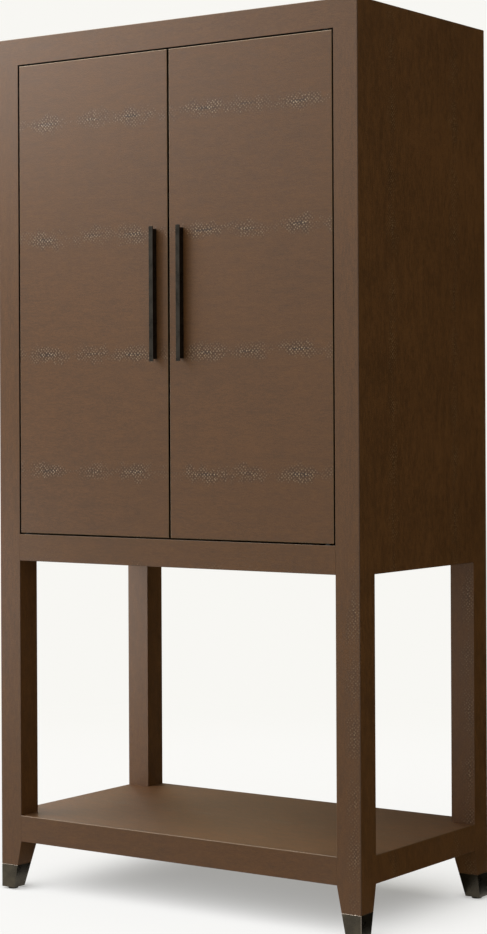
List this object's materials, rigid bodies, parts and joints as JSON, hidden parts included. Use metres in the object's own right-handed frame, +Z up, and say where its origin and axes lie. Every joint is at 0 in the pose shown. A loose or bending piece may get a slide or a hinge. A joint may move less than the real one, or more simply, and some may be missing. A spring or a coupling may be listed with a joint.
{
  "type": "bar armoire",
  "caption": "Tall bar cabinet with inset hinged doors, wrapped in grained leather, on an open legged base with a lower shelf, metal foot caps and slim bar pulls.",
  "frame": {"origin": "on the floor, under the middle of the whole piece with its pulls", "axes": "+Z up, +X to the right of someone facing the doors, the doors face -Y"},
  "size_m": [1.016, 0.5764, 2.032],
  "materials": {
    "shagreen_leather": "satin, embossed shagreen grain",
    "dark_bronze": "satin, dark bronze patina",
    "stained_wood": "satin lacquer over dark stain",
    "mirror_glass": "polished",
    "hinge_steel": "brushed",
    "black_foot": "matte"
  },
  "bodies": {
    "case": {"top_slab": "shagreen_leather", "case_floor": "shagreen_leather", "back_panel": "stained_wood", "front_shelf_rail": "shagreen_leather", "rear_shelf_rail": "shagreen_leather", "shelf_deck": "shagreen_leather", "leg_nuts": "hinge_steel", "case_hinge_leaves": "hinge_steel", "hinge_pins": "hinge_steel", "upper_door_stop": "stained_wood", "lower_door_stop": "stained_wood", "catch_magnets": "hinge_steel", "serving_counter": "stained_wood", "upper_shelf": "stained_wood", "shelf_cleats": "stained_wood", "mirror_panel": "mirror_glass", "adjustable_shelf": "stained_wood", "shelf_pins": "hinge_steel", "bottle_rack_uprights": "stained_wood", "bottle_rack_shelf": "stained_wood", "stemware_rails": "stained_wood", "right_side_panel": "shagreen_leather", "left_side_panel": "shagreen_leather", "right_liner": "stained_wood", "left_liner": "stained_wood", "right_shelf_rail": "shagreen_leather", "left_shelf_rail": "shagreen_leather", "right_front_leg": "shagreen_leather", "left_front_leg": "shagreen_leather", "right_rear_leg": "shagreen_leather", "left_rear_leg": "shagreen_leather", "right_front_foot_cap": "dark_bronze", "left_front_foot_cap": "dark_bronze", "right_rear_foot_cap": "dark_bronze", "left_rear_foot_cap": "dark_bronze"},
    "left_door": {"left_door_panel": "shagreen_leather", "left_handle_bar": "dark_bronze", "left_handle_spine": "dark_bronze", "left_handle_screws": "hinge_steel", "left_door_hinge_leaves": "hinge_steel", "left_strike_plates": "hinge_steel", "left_rack_boards": "stained_wood", "left_rack_rails": "dark_bronze"},
    "right_door": {"right_door_panel": "shagreen_leather", "right_handle_bar": "dark_bronze", "right_handle_spine": "dark_bronze", "right_handle_screws": "hinge_steel", "right_door_hinge_leaves": "hinge_steel", "right_strike_plates": "hinge_steel", "right_rack_boards": "stained_wood", "right_rack_rails": "dark_bronze"},
    "left_front_foot": {"left_front_leveller": "black_foot"},
    "right_front_foot": {"right_front_leveller": "black_foot"},
    "left_rear_foot": {"left_rear_leveller": "black_foot"},
    "right_rear_foot": {"right_rear_leveller": "black_foot"}
  },
  "joints": [
    {"name": "left_door_swing", "type": "hinge", "parent": "case", "child": "left_door", "pos_m": [-0.4245, -0.26175, 0.851], "axis": [0, 0, -1], "range_deg": [0, 110]},
    {"name": "right_door_swing", "type": "hinge", "parent": "case", "child": "right_door", "pos_m": [0.4245, -0.26175, 0.851], "axis": [0, 0, 1], "range_deg": [0, 110]},
    {"name": "left_front_foot_turn", "type": "hinge", "parent": "case", "child": "left_front_foot", "pos_m": [-0.48875, -0.2515, 0], "axis": [0, 0, 1], "continuous": true},
    {"name": "right_front_foot_turn", "type": "hinge", "parent": "case", "child": "right_front_foot", "pos_m": [0.48875, -0.2515, 0], "axis": [0, 0, 1], "continuous": true},
    {"name": "left_rear_foot_turn", "type": "hinge", "parent": "case", "child": "left_rear_foot", "pos_m": [-0.48875, 0.269, 0], "axis": [0, 0, 1], "continuous": true},
    {"name": "right_rear_foot_turn", "type": "hinge", "parent": "case", "child": "right_rear_foot", "pos_m": [0.48875, 0.269, 0], "axis": [0, 0, 1], "continuous": true}
  ]
}
